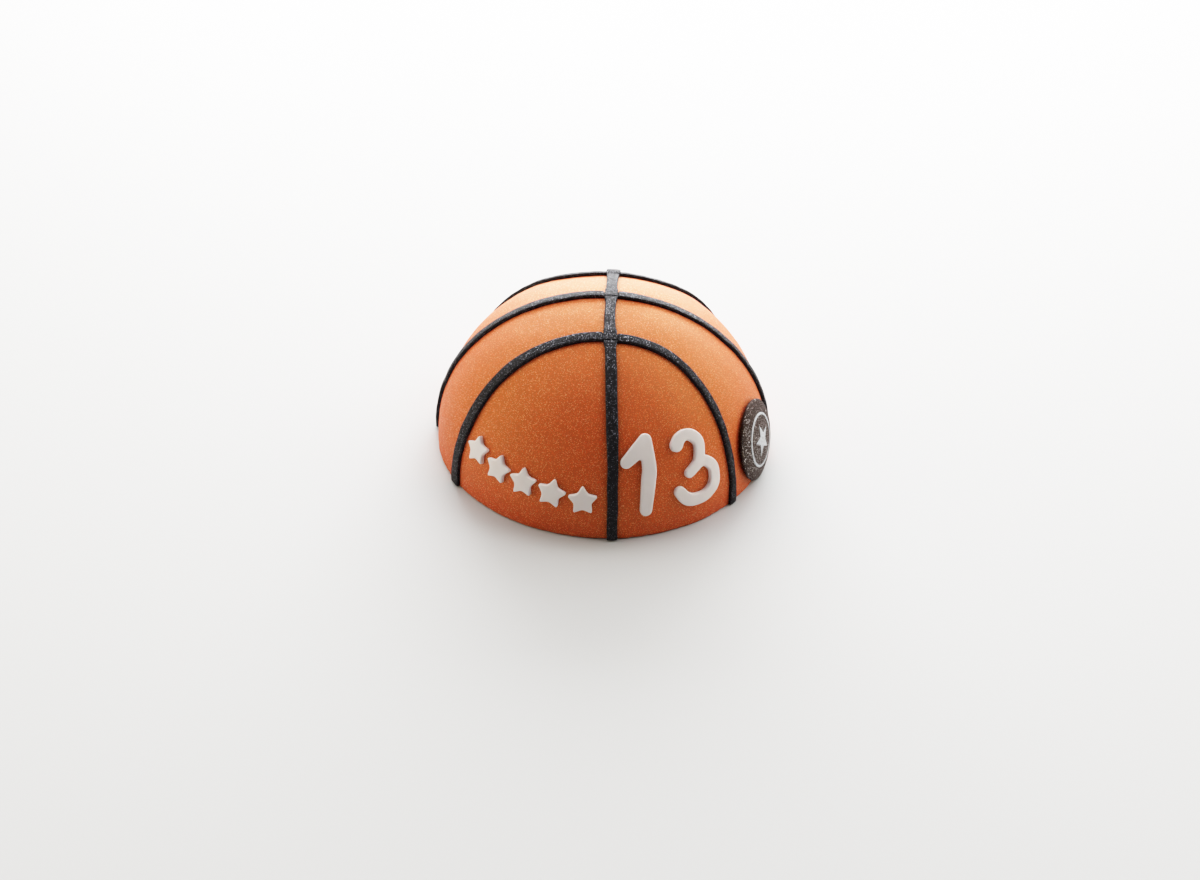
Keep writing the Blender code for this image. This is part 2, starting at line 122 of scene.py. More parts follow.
# Strokes: x, y and half the width along the middle line, in millimetres
ONE_CENTRE = (13.6, 24.0)
ONE_STROKES = (
    ((4.0, 16.2, 3.6), (5.1, 0.8, 3.9), (4.2, -6.8, 4.0), (2.3, -23.4, 3.4)),
    ((3.8, 15.8, 3.7), (-1.2, 10.4, 4.1), (-7.4, 5.0, 3.3)),
    ((0.8, 8.2, 2.5), (2.1, 7.5, 2.5)),
)
THREE_CENTRE = (32.8, 21.0)
THREE_STROKES = (
    ((-7.4, 14.9, 3.7), (-4.9, 17.7, 3.5), (-0.8, 19.0, 3.2), (3.7, 17.0, 3.4), (6.6, 11.8, 3.2),
     (4.1, 2.6, 3.2), (-0.4, -1.0, 3.0), (-2.8, -2.4, 2.9)),
    ((3.9, 1.5, 3.0), (8.3, 1.2, 3.1), (13.1, -4.2, 3.3), (12.6, -13.2, 3.5), (6.6, -18.4, 3.4),
     (-1.2, -19.0, 3.6), (-6.6, -16.7, 3.7), (-10.2, -11.6, 3.3)),
)
STAR_RADIUS = 9.0 * MM
STAR_THICKNESS = 2.5 * MM
STAR_POINTS = 5
STAR_WAIST = 0.54  # inner corners, as a share of the radius
STAR_SOFTNESS = 0.24  # how much of each side a rounded corner takes
STAR_CORNER_STEPS = 8
STARS = (  # azimuth, elevation and turn in degrees
    (-46.6, 19.0, 7.0),
    (-36.2, 17.2, -5.0),
    (-26.0, 16.3, 4.0),
    (-15.8, 15.3, -8.0),
    (-5.4, 14.3, 3.0),
)
PIECE_GRAIN = 0.25 * MM  # the size of the faces of a white piece
PIECE_SOFTENING = 50  # rounds of smoothing, and how strong each is
PIECE_SOFTENING_SHARE = 0.5
PIECE_BEDDING = 1.5 * MM  # deep enough to hide the round lower edge
PIECE_CHANGE = 0.05 * MM  # unevenness of its face
PIECE_CHANGE_LENGTH = 9 * MM
EVEN_BELOW = 0.5 * MM  # parts of a piece that lie lower than this on the skin stay even

# The medallion
MEDALLION_CENTRE = (68.1, 13.8)
MEDALLION_RADIUS = 23.6 * MM
MEDALLION_THICKNESS = 4.2 * MM  # in the middle; the face falls towards the rim as an ellipse
MEDALLION_EDGE = 1.4 * MM
MEDALLION_STANDOFF = 1.2 * MM  # the stiff disc bends less than the dome, so its rim stands off it
MEDALLION_UNDERCUT = 0.4 * MM  # how far the side wall turns in at its foot
MEDALLION_WALL = ((0.6, 0.0), (0.25, 0.3))  # heights and insets, as shares of the edge and undercut
MEDALLION_HOLLOW = 0.25  # its back runs in to this share of the radius
MEDALLION_PEG = 0.2  # and from there down into the skin at this share
MEDALLION_SEGMENTS = 192
MEDALLION_RINGS = 48
MEDALLION_CHANGE = 0.03 * MM
MEDALLION_CHANGE_LENGTH = 8 * MM
BRIGHT_FLAKE_CENTRE = (66.0, 12.6)  # where the flakes are brightest; they grow darker towards the rim
BRIGHT_FLAKE_EDGE = 1.15 * MEDALLION_RADIUS  # where they begin to brighten, and where they are fully bright
BRIGHT_FLAKE_FULL = 0.3 * MEDALLION_RADIUS
PRINT_RAISE = 0.1 * MM
PRINT_RING = (14.2 * MM, 15.6 * MM)
RING_SEGMENTS = 96
PRINT_STAR_RADIUS = 9.5 * MM
PRINT_STAR_WAIST = 0.42
PRINT_STAR_SOFTNESS = 0.06
PRINT_CELL = 1.2 * MM

# The random unevenness: how many waves, how much their rates differ, and the seeds
WAVE_COUNT = 28
WAVE_RATES = (0.6, 1.5)
SWELL_SEED = 11
RIPPLE_SEED = 12
NICK_SEED = 21
HEM_SEED = 22
CROSS_SEED = 31
FRONT_RIB_SEED = 34
REAR_RIB_SEED = 37
MERIDIAN_SEED = 40
ONE_SEED = 51
THREE_SEED = 52
STAR_SEED = 60
MEDALLION_SEED = 71

# Materials
PAINTED_SHADE_TOP = 45 * MM  # painted shade: the paste grows darker and redder from here down to the base
CREVICE_SAMPLES = 8

# Camera, at the photograph's viewing angle
CAMERA_DISTANCE = 0.7595
CAMERA_ELEVATION = 37.22
CAMERA_PAN = 0.063  # degrees, away from looking straight at the middle of the base
CAMERA_TILT = -0.481
CAMERA_ROLL = -1.756
CAMERA_LENS = 36.909
CAMERA_SENSOR = 36.0
CAMERA_NEAR = 0.01

# The studio
FLOOR_SIZE = 2.9
BACKDROP_LIGHT = 3.0  # seen past the floor; it lights nothing
AIM = (0.0, 0.0, 0.04)
WHITE_LIGHT = (1.0, 1.0, 1.0)
WARM_LIGHT = (1.0, 0.86, 0.55)
SOFTBOXES = (  # place, size, power and colour
    ("rear_low_softbox", (0.0, 1.5, 0.55), (1.8, 0.8), 129.0, WHITE_LIGHT),
    ("rear_top_softbox", (0.0, 0.95, 1.25), (1.8, 1.2), 34.5, WHITE_LIGHT),
    ("left_softbox", (-1.5, 0.0, 0.5), (1.0, 0.8), 12.5, WARM_LIGHT),
    ("left_rear_softbox", (-1.2, 0.95, 0.6), (1.0, 0.8), 3.5, WHITE_LIGHT),
    ("left_top_softbox", (-1.0, 0.2, 1.1), (0.9, 0.9), 9.0, WHITE_LIGHT),
    ("right_softbox", (1.5, 0.0, 0.5), (1.0, 0.8), 8.0, WARM_LIGHT),
    ("right_rear_softbox", (1.2, 0.95, 0.6), (1.0, 0.8), 15.0, WHITE_LIGHT),
    ("right_top_softbox", (1.0, 0.2, 1.1), (0.9, 0.9), 14.5, WHITE_LIGHT),
    ("top_softbox", (0.0, 0.0, 1.5), (1.2, 1.2), 3.0, WHITE_LIGHT),
    ("front_left_softbox", (-1.1, -1.0, 0.6), (0.9, 0.9), 2.0, WHITE_LIGHT),
)
FILM_WHITE = 6.0  # brightness that the film curve ends at
FILM_POINTS = 20
FILM_TOE = 0.35  # how much deep shade is held back, and where that ends
FILM_TOE_END = 0.1


def direction(azimuth, elevation):
    """Unit vector from the origin; azimuth turns from the front towards +X."""
    turn = math.radians(azimuth)
    rise = math.radians(elevation)
    return np.array((math.sin(turn) * math.cos(rise), -math.cos(turn) * math.cos(rise), math.sin(rise)))


def unit(vectors):
    return vectors / np.linalg.norm(vectors, axis=-1, keepdims=True)


class Waves:
    """Smooth random unevenness of a given usual height, as a sum of plane waves."""

    def __init__(self, seed, length, height):
        random = np.random.default_rng(seed)
        headings = unit(random.normal(size=(WAVE_COUNT, 3)))
        self.rates = headings * math.tau / length * random.uniform(*WAVE_RATES, (WAVE_COUNT, 1))
        self.starts = random.uniform(0.0, math.tau, WAVE_COUNT)
        self.height = height * math.sqrt(2 / WAVE_COUNT)

    def at(self, points):
        return self.height * np.sin(points @ self.rates.T + self.starts).sum(axis=-1)

    def along(self, distances):
        """The waves read along a line."""
        return self.at(np.multiply.outer(distances, np.array((1.0, 0.0, 0.0))))


class Dome:
    """The half ball that everything lies on, read from the frame, with the skin's unevenness."""

    def __init__(self):
        low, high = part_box("cake_dome")
        self.radius = (high[0] - low[0]) / 2
        self.height = high[2] - low[2]
        self.axes = np.array((self.radius, self.radius, self.height))
        self.swell = Waves(SWELL_SEED, SKIN_SWELL_LENGTH, SKIN_SWELL)
        self.ripple = Waves(RIPPLE_SEED, SKIN_RIPPLE_LENGTH, SKIN_RIPPLE)

    def on_skin(self, toward, lift=0.0):
        """Points on the skin in some directions from the origin, lifted straight out of it."""
        point = toward / np.linalg.norm(toward / self.axes, axis=-1, keepdims=True)
        normal = unit(point / self.axes**2)
        lift = lift + self.swell.at(point) + self.ripple.at(point)
        return point + normal * np.asarray(lift)[..., None]

    def over_plan(self, x, y):
        """The point of the smooth dome over a place in its plan."""
        inside = 1 - (x * x + y * y) / self.radius**2
        return np.array((x, y, self.height * math.sqrt(max(inside, 0.0))))


def add_piece(name, mesh, material, slot, *nodes):
    """Add a finished mesh as a smooth piece that stands for some nodes of the frame."""
    mesh.name = name
    mesh.materials.clear()
    mesh.materials.append(material)
    mesh.shade_smooth()
    piece = bpy.data.objects.new(name, mesh)
    bpy.context.scene.collection.objects.link(piece)
    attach(piece, "root")
    if nodes:
        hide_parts(*nodes)


def closed_mesh(rows):
    """A closed mesh through loops of points, with a point in the middle of the first and last loop."""
    count, width = rows.shape[:2]
    places = [*rows.reshape(-1, 3), rows[0].mean(axis=0), rows[-1].mean(axis=0)]
    first_middle, last_middle = count * width, count * width + 1
    last_row = (count - 1) * width
    faces = []
    for column in range(width):
        beside = (column + 1) % width
        for row in range(0, last_row, width):
            faces.append((row + column, row + beside, row + width + beside, row + width + column))
        faces.append((first_middle, beside, column))
        faces.append((last_middle, last_row + column, last_row + beside))
    mesh = bpy.data.meshes.new("loops")
    mesh.from_pydata(places, [], faces)
    work = bmesh.new()
    work.from_mesh(mesh)
    bmesh.ops.recalc_face_normals(work, faces=work.faces)
    work.to_mesh(mesh)
    work.free()
    return mesh


def evaluated_mesh(obj):
    """A mesh of an object as its modifiers leave it; the object is removed."""
    bpy.context.view_layer.update()
    evaluated = obj.evaluated_get(bpy.context.evaluated_depsgraph_get())
    mesh = bpy.data.meshes.new_from_object(evaluated)
    bpy.data.objects.remove(obj, do_unlink=True)
    return mesh


# The dome

def hem_nicks(turns):
    """Depth of the small tears and knife marks along the cut edge, at some angles."""
    random = np.random.default_rng(NICK_SEED)
    depth = np.zeros_like(turns)
    for place in random.uniform(0.0, math.tau, NICKS):
        width = random.uniform(*NICK_WIDTH) / dome.radius
        deepest = random.uniform(*NICK_DEPTH)
        away = np.abs((turns - place + math.pi) % math.tau - math.pi)
        depth = np.maximum(depth, deepest * np.clip(1 - away / width, 0.0, 1.0))
    return depth


def hem_height(outward, nicks):
    """Height of the cut edge of the skin, in some level directions."""
    change = Waves(HEM_SEED, HEM_CHANGE_LENGTH, HEM_HEIGHT_CHANGE).at(outward * dome.radius)
    return HEM_HEIGHT + np.clip(change, -2 * HEM_HEIGHT_CHANGE, 2 * HEM_HEIGHT_CHANGE) + nicks


def skin_rows(outward, hem, nicks):
    """Loops of points on the skin, from near the apex down to its cut edge."""
    rows = []
    for ring in range(1, SKIN_RINGS + 1):
        angle = math.pi / 2 * (1 - ring / SKIN_RINGS)
        height = hem + (dome.height - hem) * math.sin(angle)
        share = np.sqrt(1 - (height / dome.height)**2)
        toward = outward * (dome.radius * share)[:, None]
        toward[:, 2] = height
        near_hem = np.clip(1 - (height - hem) / HEM_LIP_HEIGHT, 0.0, 1.0)
        rows.append(dome.on_skin(toward, HEM_LIP * near_hem**2 - NICK_INSET * nicks * near_hem))
    return rows


def tuck_rows(edge, outward, nicks):
    """Loops of points that turn the skin in, from its cut edge down to the table."""
    rows = []
    for step in range(1, HEM_STEPS + 1):
        angle = math.pi / 2 * step / HEM_STEPS
        inward = (HEM_TUCK - NICK_UNTUCK * nicks) * (1 - math.cos(angle))
        row = edge - outward * inward[:, None]
        row[:, 2] = edge[:, 2] - np.maximum(edge[:, 2], 0.0) * math.sin(angle)
        rows.append(row)
    return rows


def skin_mesh():
    """The dome's skin down to its trimmed hem, and the flat base under it."""
    turns = np.linspace(0.0, math.tau, SKIN_SEGMENTS, endpoint=False)
    outward = np.stack((np.sin(turns), -np.cos(turns), np.zeros_like(turns)), axis=-1)
    nicks = hem_nicks(turns)
    rows = skin_rows(outward, hem_height(outward, nicks), nicks)
    return closed_mesh(np.array([*rows, *tuck_rows(rows[-1], outward, nicks)]))


# The stripes

def meridian_path():
    """From the front foot over the top to the rear foot, bowed towards the middle."""
    points = []
    for step in range(PATH_STEPS + 1):
        angle = math.pi * step / PATH_STEPS
        beyond = math.cos(angle) - MERIDIAN_CLOSEST_AT
        if beyond > 0:
            foot, share = MERIDIAN_FEET[0], beyond / (1 - MERIDIAN_CLOSEST_AT)
        else:
            foot, share = MERIDIAN_FEET[1], -beyond / (1 + MERIDIAN_CLOSEST_AT)
        offset = MERIDIAN_CLOSEST + (foot - MERIDIAN_CLOSEST) * share**MERIDIAN_BEND
        toward = np.array((offset / dome.radius, -math.cos(angle), math.sin(angle)))
        points.append(toward / np.linalg.norm(toward / dome.axes))
    return points


def plan_path(plan_y, left_x, right_x):
    """A path over the dome from left to right, drawn in plan as a function of x."""
    points = []
    for step in range(PATH_STEPS + 1):
        share = 2 * step / PATH_STEPS - 1
        x = (right_x if share > 0 else left_x) * abs(math.sin(share * math.pi / 2))
        points.append(dome.over_plan(x, plan_y(x)))
    return points


def cross_path():
    """From side to side, close by the apex, leaning forward near its feet."""
    left_x, right_x = (math.sqrt(dome.radius**2 - foot**2) for foot in CROSS_FEET)

    def plan_y(x):
        foot, foot_x = (CROSS_FEET[0], left_x) if x < 0 else (CROSS_FEET[1], right_x)
        return -(CROSS_MIDDLE + (foot - CROSS_MIDDLE) * abs(x / foot_x)**CROSS_POWER)

    return plan_path(plan_y, -left_x, right_x)


def rib_path(side, reach, feet, powers):
    """A bow in front of the apex (side -1) or behind it (side 1), with its feet at two azimuths."""
    left, right = (math.radians(foot) for foot in feet)

    def plan_y(x):
        foot, power = (left, powers[0]) if x < 0 else (right, powers[1])
        foot_x, foot_y = dome.radius * math.sin(foot), dome.radius * math.cos(foot)
        return side * (reach + (foot_y - reach) * abs(x / foot_x)**power)

    return plan_path(plan_y, -dome.radius * math.sin(left), dome.radius * math.sin(right))


class Route:
    """A path over the dome, trimmed above the table and read by the distance along it."""

    def __init__(self, path):
        points = np.array([point for point in path if point[2] >= FOOT_HEIGHT])
        steps = np.linalg.norm(np.diff(points, axis=0), axis=1)
        self.points = points
        self.distances = np.concatenate(((0.0,), np.cumsum(steps)))
        self.length = self.distances[-1]

    def at(self, distances):
        """The points at some distances, and the directions across the path there."""
        point = np.stack([np.interp(distances, self.distances, self.points[:, axis]) for axis in range(3)],
                         axis=-1)
        slope = np.gradient(self.points, self.distances, axis=0)
        ahead = np.stack([np.interp(distances, self.distances, slope[:, axis]) for axis in range(3)],
                         axis=-1)
        return point, unit(np.cross(point, ahead))

    def nearest(self, other):
        """The distance along this route where it comes closest to another."""
        gaps = [np.min(np.linalg.norm(other.points - point, axis=1)) for point in self.points]
        return self.distances[int(np.argmin(gaps))]


def width_at(widths, share):
    """A stripe's width at shares of its length, eased between the given widths."""
    values = np.array(widths) * MM
    place = np.asarray(share) * (len(widths) - 1)
    first = np.clip(place.astype(int), 0, len(widths) - 2)
    ease = place - first
    ease = ease * ease * (3 - 2 * ease)
    return values[first] * (1 - ease) + values[first + 1] * ease


# A pressed stretch of a stripe: its middle and half its length along the stripe, the ramp beyond it,
# what its base height, thickness and width change to, and where a crease runs across it, if one does
Crossing = namedtuple("Crossing", "place reach ramp base thickness widening crease")


def crossing_share(distances, crossing):
    """1 on the pressed stretch, 0 past a soft ramp."""
    beyond = np.abs(distances - crossing.place) - crossing.reach
    ramp = np.clip(1 - beyond / crossing.ramp, 0.0, 1.0)
    return ramp * ramp * (3 - 2 * ramp)


def crossing_pair(route, widths, thickness, meridian):
    """How a stripe is pressed under the meridian, and how the meridian is over the stripe."""
    under_place, over_place = route.nearest(meridian), meridian.nearest(route)
    width = width_at(widths, under_place / route.length)
    over_width = width_at(MERIDIAN_WIDTHS, over_place / meridian.length) + PRESSED_WIDENING
    under = Crossing(under_place, over_width / 2 + UNDER_MARGIN, UNDER_RAMP, 0.0, thickness, 0.0, None)
    over = Crossing(over_place, width / 2 + OVER_MARGIN, OVER_RAMP, thickness, OVER_THICKNESS,
                    PRESSED_WIDENING, over_place - width / 2)
    return under, over


def pressing(distances, width, crossings):
    """A stripe's width, base height and share of the full thickness, with the crossings in it."""
    base = np.zeros_like(distances)
    pressed = np.ones_like(distances)
    for crossing in crossings:
        share = crossing_share(distances, crossing)
        width = width + crossing.widening * share
        base = base + crossing.base * share
        pressed = pressed + (crossing.thickness / STRIPE_THICKNESS - 1) * share
    return width, base, pressed


def end_rounding(distances, length):
    """From 0 at a stripe's two ends up to 1, as a quarter circle."""
    share = np.clip(np.minimum(distances, length - distances) / STRIPE_END_ROUNDING, 0.0, 1.0)
    return np.sqrt(1 - (1 - share)**2)


def side_profile():
    """A stripe's side from its foot up to its top: distances in from the side, and heights."""
    places = [(0.0, -BEDDING), (0.0, STRIPE_WALL * STRIPE_THICKNESS)]
    for step in range(STRIPE_ROUNDING_STEPS + 1):
        angle = math.pi / 2 * step / STRIPE_ROUNDING_STEPS
        places.append((STRIPE_ROUNDING * (1 - math.cos(angle)),
                       STRIPE_THICKNESS - STRIPE_ROUNDING * (1 - math.sin(angle))))
    return places


def stripe_section(distances, width, end_share, seed):
    """Lines along a stripe, from its left side over the top to its right: places across, heights."""
    sides = []
    for number, side in enumerate((-1, 1), start=1):
        edge = Waves(seed + number, STRIPE_EDGE_LENGTH, STRIPE_EDGE_CHANGE).along(distances)
        half_width = width / 2 + edge - STRIPE_END_TAPER * (1 - end_share)
        sides.append([(side * (half_width - inset), height) for inset, height in side_profile()])
    left, right = sides
    top = []
    for share in np.linspace(-1, 1, TOP_STEPS)[1:-1]:
        mix = (share + 1) / 2
        across = left[-1][0] * (1 - mix) + right[-1][0] * mix
        top.append((across, STRIPE_THICKNESS + STRIPE_CROWN * (1 - share**2)))
    return left + top + right[::-1]


def stripe_stations(length, creases):
    """Distances along a stripe: even steps, finer ones at its rounded ends and at its creases."""
    quarter_turn = np.linspace(0.0, math.pi / 2, STRIPE_END_STEPS)
    ends = (STRIPE_END_ROUNDING * (1 - np.cos(quarter_turn)))[:-1]
    inner = np.linspace(STRIPE_END_ROUNDING, length - STRIPE_END_ROUNDING, round(length / STRIPE_STEP))
    for crease in creases:
        near = crease + np.linspace(-CREASE_REACH, CREASE_REACH, CREASE_STEPS) * CREASE_WIDTH
        inner = inner[np.abs(inner - crease) > CREASE_CLEARANCE * CREASE_WIDTH]
        inner = np.sort(np.concatenate((inner, near)))
    return np.concatenate((ends, inner, (length - ends)[::-1]))


def stripe_mesh(route, widths, seed, crossings):
    """A bar of sugar paste bent along a route, and pressed where it crosses other stripes."""
    creases = [crossing.crease for crossing in crossings if crossing.crease is not None]
    distances = stripe_stations(route.length, creases)
    width, base, pressed = pressing(distances, width_at(widths, distances / route.length), crossings)
    end_share = end_rounding(distances, route.length)
    pressed = pressed * (STRIPE_END_HEIGHT + (1 - STRIPE_END_HEIGHT) * end_share)
    creased = sum(np.exp(-((distances - crease) / CREASE_WIDTH)**2) for crease in creases)
    change = Waves(seed, STRIPE_TOP_LENGTH, STRIPE_TOP_CHANGE).along(distances)
    change = change - CREASE_DEPTH * creased
    point, side = route.at(distances)
    rows = []
    for across, height in stripe_section(distances, width, end_share, seed):
        lift = height + np.zeros_like(distances)
        if height > 0:
            lift = height * pressed + base + min(height / STRIPE_THICKNESS, 1.0) * change
        rows.append(dome.on_skin(point + side * across[:, None], lift))
    return closed_mesh(np.array(rows).transpose(1, 0, 2))


def add_stripes(material):
    """The meridian lies over the three other stripes."""
    slot = "sugar_paste_black"
    meridian = Route(meridian_path())
    meridian_crossings = []
    others = (
        ("cross", cross_path(), CROSS_WIDTHS, UNDER_THICKNESS, CROSS_SEED),
        ("front_rib", rib_path(-1, FRONT_RIB_REACH, FRONT_RIB_FEET, FRONT_RIB_POWERS),
         FRONT_RIB_WIDTHS, UNDER_THICKNESS, FRONT_RIB_SEED),
        ("rear_rib", rib_path(1, REAR_RIB_REACH, REAR_RIB_FEET, REAR_RIB_POWERS),
         REAR_RIB_WIDTHS, STRIPE_THICKNESS, REAR_RIB_SEED),
    )
    for name, path, widths, thickness, seed in others:
        route = Route(path)
        under, over = crossing_pair(route, widths, thickness, meridian)
        meridian_crossings.append(over)
        mesh = stripe_mesh(route, widths, seed, [under])
        add_piece(f"band_{name}", mesh, material, slot, f"stripe_{name}")
    mesh = stripe_mesh(meridian, MERIDIAN_WIDTHS, MERIDIAN_SEED, meridian_crossings)
    add_piece("band_meridian", mesh, material, slot, "stripe_meridian")


# The white pieces

def curve_through(points, steps):
    """A smooth curve through points, which may carry further values beside their place."""
    ends = [points[0].lerp(points[1], -1.0), *points, points[-1].lerp(points[-2], -1.0)]
    line = []
    for a, b, c, d in zip(ends, ends[1:], ends[2:], ends[3:]):
        for step in range(steps):
            t = step / steps
            line.append(0.5 * (2 * b + (c - a) * t + (2 * a - 5 * b + 4 * c - d) * t**2
                               + (3 * b - a - 3 * c + d) * t**3))
    return [*line, points[-1]]


def cap_points(centre, radius, first_angle):
    """Points of a half circle, clockwise, without its two ends."""
    points = []
    for step in range(1, CAP_STEPS):
        angle = first_angle - math.pi * step / CAP_STEPS
        points.append(centre + Vector((math.cos(angle), math.sin(angle))) * radius)
    return points


def stroke_outline(stroke):
    """Outline of a pen stroke with round ends, from points on its middle line."""
    line = curve_through([Vector(values) * MM for values in stroke], STROKE_STEPS)
    last = len(line) - 1
    left, right, headings = [], [], []
    for k, sample in enumerate(line):
        ahead = line[min(k + 1, last)].xy - line[max(k - 1, 0)].xy
        heading = math.atan2(ahead.y, ahead.x)
        side = Vector((-math.sin(heading), math.cos(heading))) * sample.z
        left.append(sample.xy + side)
        right.append(sample.xy - side)
        headings.append(heading)
    end_cap = cap_points(line[-1].xy, line[-1].z, headings[-1] + math.pi / 2)
    start_cap = cap_points(line[0].xy, line[0].z, headings[0] - math.pi / 2)
    return [*left, *end_cap, *reversed(right), *start_cap]


def star_outline(radius, waist, softness):
    """A five-pointed star with rounded corners."""
    corners = []
    for k in range(2 * STAR_POINTS):
        angle = math.pi / 2 + math.pi * k / STAR_POINTS
        reach = radius if k % 2 == 0 else radius * waist
        corners.append(Vector((math.cos(angle), math.sin(angle))) * reach)
    outline = []
    for k, corner in enumerate(corners):
        before = corner.lerp(corners[k - 1], softness)
        after = corner.lerp(corners[(k + 1) % len(corners)], softness)
        for step in range(STAR_CORNER_STEPS + 1):
            t = step / STAR_CORNER_STEPS
            outline.append(before * (1 - t)**2 + corner * 2 * t * (1 - t) + after * t**2)
    return outline


def ring_outline(radius):
    return [Vector((math.cos(turn), math.sin(turn))) * radius
            for turn in np.linspace(0.0, math.tau, RING_SEGMENTS, endpoint=False)]


def slab_mesh(outlines, low, high):
    """A flat piece between two heights, with one or more outlines of a filled 2D curve."""
    curve = bpy.data.curves.new("outline", "CURVE")
    curve.dimensions = "2D"
    curve.fill_mode = "BOTH"
    curve.extrude = (high - low) / 2
    for outline in outlines:
        spline = curve.splines.new("POLY")
        spline.points.add(len(outline) - 1)
        for point, place in zip(spline.points, outline):
            point.co = (place.x, place.y, 0.0, 1.0)
        spline.use_cyclic_u = True
    obj = bpy.data.objects.new("outline", curve)
    bpy.context.scene.collection.objects.link(obj)
    mesh = evaluated_mesh(obj)
    mesh.transform(Matrix.Translation((0.0, 0.0, (low + high) / 2)))
    return mesh


def soft_mesh(slabs):
    """Flat slabs run together into one soft body of fine even faces."""
    work = bmesh.new()
    for slab in slabs:
        work.from_mesh(slab)
    bmesh.ops.remove_doubles(work, verts=work.verts, dist=JOIN_WITHIN)
    bmesh.ops.recalc_face_normals(work, faces=work.faces)
    mesh = bpy.data.meshes.new("soft")
    work.to_mesh(mesh)
    work.free()
    obj = bpy.data.objects.new("soft", mesh)
    bpy.context.scene.collection.objects.link(obj)
    remesh = obj.modifiers.new("Even faces", "REMESH")
    remesh.mode = "VOXEL"
    remesh.voxel_size = PIECE_GRAIN
    smooth = obj.modifiers.new("Soften", "SMOOTH")
    smooth.factor = PIECE_SOFTENING_SHARE
    smooth.iterations = PIECE_SOFTENING
    return evaluated_mesh(obj)


def drape(mesh, azimuth, elevation, change, turn=0.0):
    """Lay a flat mesh on the skin, its x running east and its y north, with a change of its face."""
    out = direction(azimuth, elevation)
    east = direction(azimuth + 90, 0.0)
    north = np.cross(out, east)
    places = np.empty(len(mesh.vertices) * 3)
    mesh.vertices.foreach_get("co", places)
    places = places.reshape(-1, 3)
    spin = math.radians(turn)
    x = places[:, 0] * math.cos(spin) - places[:, 1] * math.sin(spin)
    y = places[:, 0] * math.sin(spin) + places[:, 1] * math.cos(spin)
    sideways = x[:, None] * east + y[:, None] * north
    reach = np.linalg.norm(sideways, axis=1)
    bend = reach / dome.radius
    heading = sideways / np.maximum(reach, TINY)[:, None]
    toward = out * np.cos(bend)[:, None] + heading * np.sin(bend)[:, None]
    height = places[:, 2]
    lift = height + np.where(height > EVEN_BELOW, change.at(places), 0.0)
    mesh.vertices.foreach_set("co", dome.on_skin(toward, lift).ravel())
    mesh.update()


def add_numeral(name, strokes, centre, seed, material, node):
    slabs = [slab_mesh([stroke_outline(stroke)], -PIECE_BEDDING, NUMERAL_THICKNESS)
             for stroke in strokes]
    mesh = soft_mesh(slabs)
    drape(mesh, *centre, Waves(seed, PIECE_CHANGE_LENGTH, PIECE_CHANGE))
    add_piece(name, mesh, material, "sugar_paste_white", node)


def add_stars(material):
    for number, (azimuth, elevation, turn) in enumerate(STARS, start=1):
        outline = star_outline(STAR_RADIUS, STAR_WAIST, STAR_SOFTNESS)
        mesh = soft_mesh([slab_mesh([outline], -PIECE_BEDDING, STAR_THICKNESS)])
        change = Waves(STAR_SEED + number, PIECE_CHANGE_LENGTH, PIECE_CHANGE)
        drape(mesh, azimuth, elevation, change, turn)
        add_piece(f"iced_star_{number}", mesh, material, "sugar_paste_white", f"star_{number}")


# The medallion

def medallion_standoff(radius):
    """Height of the medallion's back over the skin at a distance from its middle."""
    return MEDALLION_STANDOFF * (radius / MEDALLION_RADIUS)**2


def medallion_face(radius):
    """Height of the medallion's face there: half an ellipse in section, on its back."""
    share = np.minimum(radius / MEDALLION_RADIUS, 1.0)
    swell = (MEDALLION_THICKNESS - MEDALLION_EDGE) * np.sqrt(1 - share**2)
    return medallion_standoff(radius) + MEDALLION_EDGE + swell


def medallion_mesh():
    """A thick disc with a low rounded side wall and a face that swells like a lens."""
    face, back = [], []
    for ring in range(1, MEDALLION_RINGS + 1):
        radius = MEDALLION_RADIUS * math.sin(math.pi / 2 * ring / MEDALLION_RINGS)
        face.append((radius, float(medallion_face(radius))))
        back.append((radius - MEDALLION_UNDERCUT, medallion_standoff(radius)))
    wall = [(MEDALLION_RADIUS - inset * MEDALLION_UNDERCUT, MEDALLION_STANDOFF + rise * MEDALLION_EDGE)
            for rise, inset in MEDALLION_WALL]
    back = [place for place in reversed(back) if place[0] > MEDALLION_HOLLOW * MEDALLION_RADIUS]
    peg = (MEDALLION_PEG * MEDALLION_RADIUS, -BEDDING)
    turns = np.linspace(0.0, math.tau, MEDALLION_SEGMENTS, endpoint=False)
    rows = [np.stack((radius * np.cos(turns), radius * np.sin(turns), np.full_like(turns, height)), -1)
            for radius, height in [*face, *wall, *back, peg]]
    return closed_mesh(np.array(rows))


def cut_into_squares(mesh, cell):
    """Cut a flat mesh into squares, so that it can bend."""
    work = bmesh.new()
    work.from_mesh(mesh)
    bmesh.ops.remove_doubles(work, verts=work.verts, dist=JOIN_WITHIN)
    for axis in range(2):
        normal = Vector((float(axis == 0), float(axis == 1), 0.0))
        reach = max(abs(vertex.co[axis]) for vertex in work.verts)
        count = int(reach / cell)
        for k in range(-count, count + 1):
            geometry = work.verts[:] + work.edges[:] + work.faces[:]
            bmesh.ops.bisect_plane(work, geom=geometry, plane_co=normal * k * cell, plane_no=normal)
    bmesh.ops.recalc_face_normals(work, faces=work.faces)
    work.to_mesh(mesh)
    work.free()


